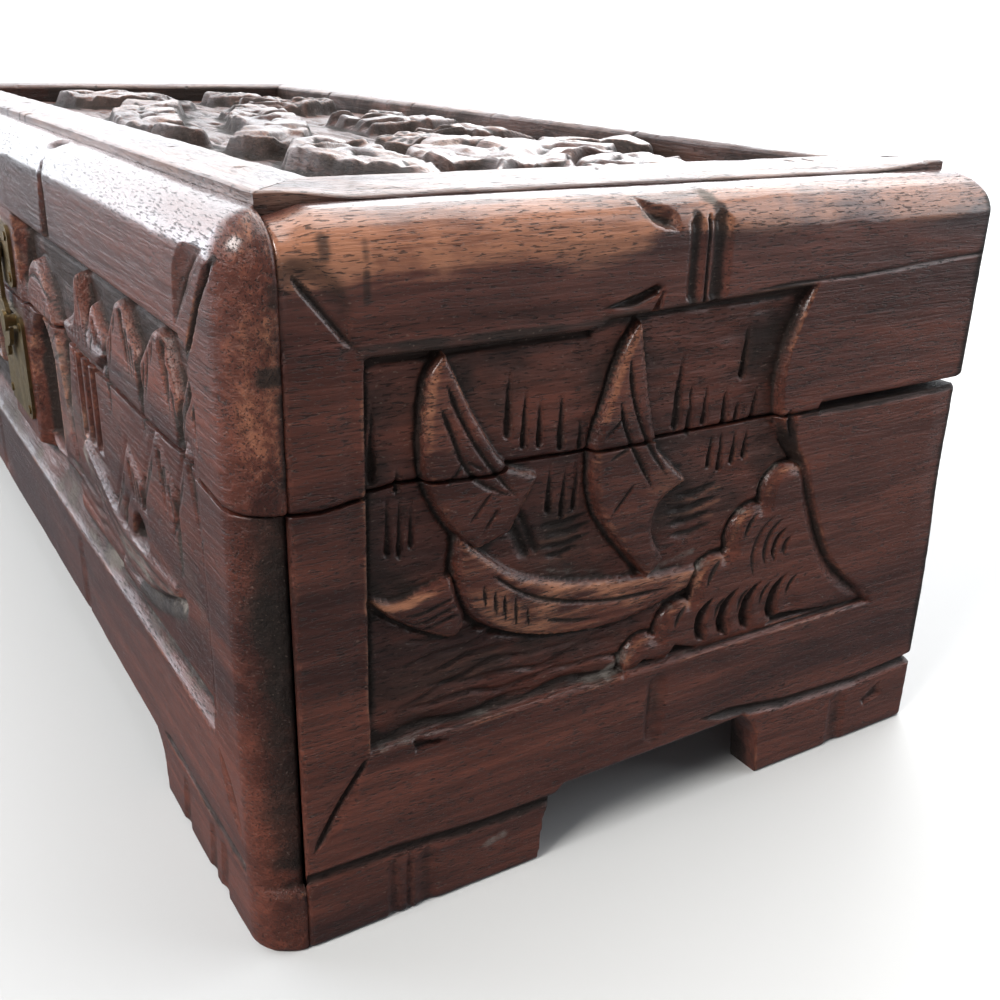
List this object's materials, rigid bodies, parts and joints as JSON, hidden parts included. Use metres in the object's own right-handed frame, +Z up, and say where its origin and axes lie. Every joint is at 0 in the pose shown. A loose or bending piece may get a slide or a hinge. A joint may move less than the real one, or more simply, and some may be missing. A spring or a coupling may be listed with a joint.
{
  "type": "carved wooden box",
  "caption": "Rectangular wooden box with relief-carved walls, a hinged framed lid, bracket feet and a brass swing hook.",
  "frame": {"origin": "on the ground under the middle of the box", "axes": "+X along the box to its right-hand carved end, +Y from the front to the hinged back, +Z up"},
  "size_m": [0.33, 0.1541, 0.12],
  "materials": {
    "carved_wall_wood": "dark red-brown stain, worn satin",
    "lid_top_wood": "dark stain, rubbed and waxed",
    "plain_bottom_wood": "unpolished",
    "aged_brass": "tarnished"
  },
  "bodies": {
    "base": {"base_back_board": "carved_wall_wood", "base_bottom_board": "plain_bottom_wood", "base_catch_nails": "aged_brass", "base_catch_plate": "aged_brass", "base_catch_stud": "aged_brass", "base_front_board": "carved_wall_wood", "base_left_end_board": "carved_wall_wood", "base_right_end_board": "carved_wall_wood", "hinge_base_screws": "aged_brass", "left_hinge_base_leaf": "aged_brass", "left_hinge_pin": "aged_brass", "right_hinge_base_leaf": "aged_brass", "right_hinge_pin": "aged_brass"},
    "lid": {"hinge_lid_screws": "aged_brass", "hook_pivot_rivet": "aged_brass", "left_hinge_lid_leaf": "aged_brass", "lid_back_board": "carved_wall_wood", "lid_catch_nails": "aged_brass", "lid_catch_plate": "aged_brass", "lid_frame_back_moulding": "lid_top_wood", "lid_frame_front_moulding": "lid_top_wood", "lid_frame_left_moulding": "lid_top_wood", "lid_frame_right_moulding": "lid_top_wood", "lid_front_board": "carved_wall_wood", "lid_left_end_board": "carved_wall_wood", "lid_right_end_board": "carved_wall_wood", "lid_top_panel": "lid_top_wood", "right_hinge_lid_leaf": "aged_brass"},
    "hook": {"catch_hook": "aged_brass"}
  },
  "joints": [
    {"name": "lid_hinge", "type": "hinge", "parent": "base", "child": "lid", "pos_m": [0, 0.0735, 0.0774], "axis": [-1, 0, 0], "range_deg": [0, 105]},
    {"name": "hook_swing", "type": "hinge", "parent": "lid", "child": "hook", "pos_m": [0, -0.0769, 0.0875], "axis": [0, -1, 0], "range_deg": [-100, 24]}
  ]
}
